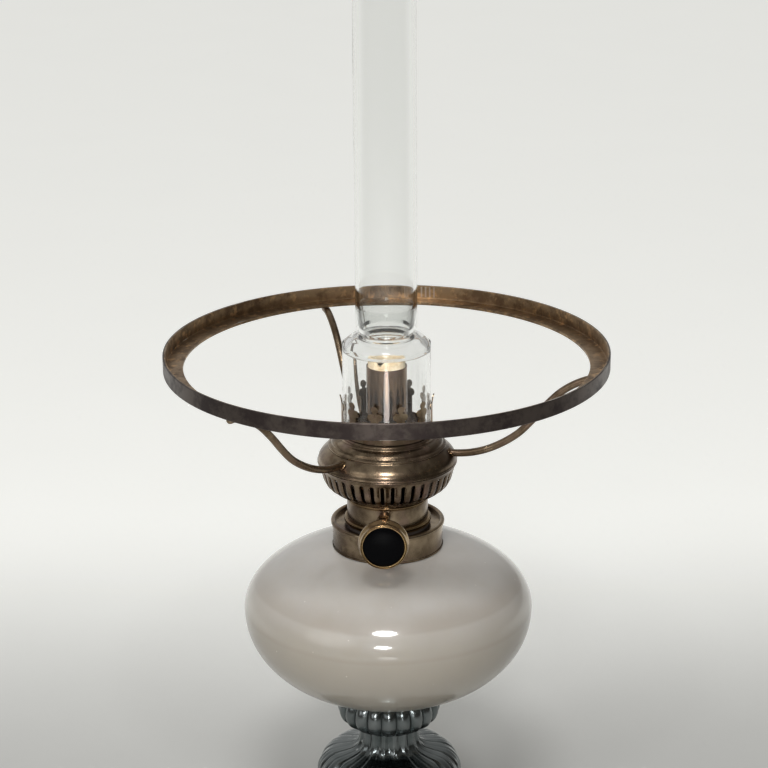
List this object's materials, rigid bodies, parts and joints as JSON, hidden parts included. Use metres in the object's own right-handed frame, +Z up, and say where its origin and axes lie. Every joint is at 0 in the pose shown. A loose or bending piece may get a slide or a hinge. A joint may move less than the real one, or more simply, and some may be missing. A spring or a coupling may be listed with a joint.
{
  "type": "oil table lamp",
  "caption": "Table oil lamp with a cast foot, round glass font, side-draught burner with knob, clear chimney and a shade ring on three arms.",
  "frame": {"origin": "middle of the underside of the foot, where the lamp stands", "axes": "+Z up along the lamp's axis, the knob faces -Y, +X to the right as seen from the knob"},
  "size_m": [0.1936, 0.1936, 0.4413],
  "materials": {
    "pewter": "polished dark pewter casting with a cool tint in the grooves",
    "felt": "pressed wool felt",
    "plain_steel": "zinc plated steel",
    "plaster": "set plaster, matt",
    "milk_glass": "cloudy white glass with a smooth surface",
    "clear_glass": "clear blown glass",
    "antique_brass": "spun brass, bronzed and worn bright on its edges",
    "bright_brass": "spun brass, lightly tarnished",
    "dark_bronze": "rolled brass band with a dark bronze finish",
    "arm_brass": "drawn brass wire, tarnished",
    "copper_bronze": "drawn tube with a coppery heat tint",
    "knob_brass": "turned brass",
    "black_enamel": "glossy black enamel",
    "cotton_wick": "woven cotton, charred lightly at its edge",
    "gasket_rubber": "pressed cork and rubber"
  },
  "bodies": {
    "stand": {"felt_pad": "felt", "base_plate": "plain_steel", "foot_base": "pewter", "leaf_dome": "pewter", "tie_rod": "plain_steel", "rod_washer": "plain_steel", "rod_nut": "plain_steel", "petal_cup": "pewter", "cup_nut": "plain_steel", "peg_cement": "plaster", "glass_font": "milk_glass", "neck_cement": "plaster", "font_collar": "antique_brass"},
    "gasket": {"burner_gasket": "gasket_rubber"},
    "burner": {"burner_screw": "bright_brass", "burner_drum": "bright_brass", "bead_ring": "bright_brass", "air_basket": "antique_brass", "burner_shell": "antique_brass", "step_cover": "antique_brass", "prong_gallery": "antique_brass", "air_plate": "antique_brass", "outer_wick_tube": "copper_bronze", "draught_tube": "copper_bronze", "gland_tube": "bright_brass", "gland_nut": "bright_brass", "arm_right": "arm_brass", "arm_back": "arm_brass", "arm_left": "arm_brass", "shade_ring": "dark_bronze", "ring_lap": "dark_bronze", "arm_rivets": "arm_brass"},
    "knob": {"spindle": "arm_brass", "feed_wheels": "bright_brass", "knob_rim": "knob_brass", "knob_disc": "black_enamel", "knob_bezel": "knob_brass"},
    "wick": {"wick": "cotton_wick"},
    "chimney": {"chimney": "clear_glass"}
  },
  "joints": [
    {"name": "burner_rise", "type": "slide", "parent": "stand", "child": "gasket", "axis": [0, 0, 1], "range_m": [0, 0.0051]},
    {"name": "burner_turn", "type": "hinge", "parent": "gasket", "child": "burner", "pos_m": [0, 0, 0.15869], "axis": [0, 0, 1], "range_deg": [0, 900]},
    {"name": "knob_turn", "type": "hinge", "parent": "burner", "child": "knob", "pos_m": [-0.0018, 0, 0.16539], "axis": [0, 1, 0], "range_deg": [-80, 126]},
    {"name": "wick_lift", "type": "slide", "parent": "burner", "child": "wick", "axis": [0, 0, 1], "range_m": [-0.005, 0.0078]},
    {"name": "chimney_lift", "type": "slide", "parent": "burner", "child": "chimney", "axis": [0, 0, 1], "range_m": [0, 0.06]}
  ],
  "couplings": [
    {"joint": "burner_rise", "follows": "burner_turn", "m_per_rad": 0.0003183},
    {"joint": "wick_lift", "follows": "knob_turn", "m_per_rad": 0.0035}
  ]
}
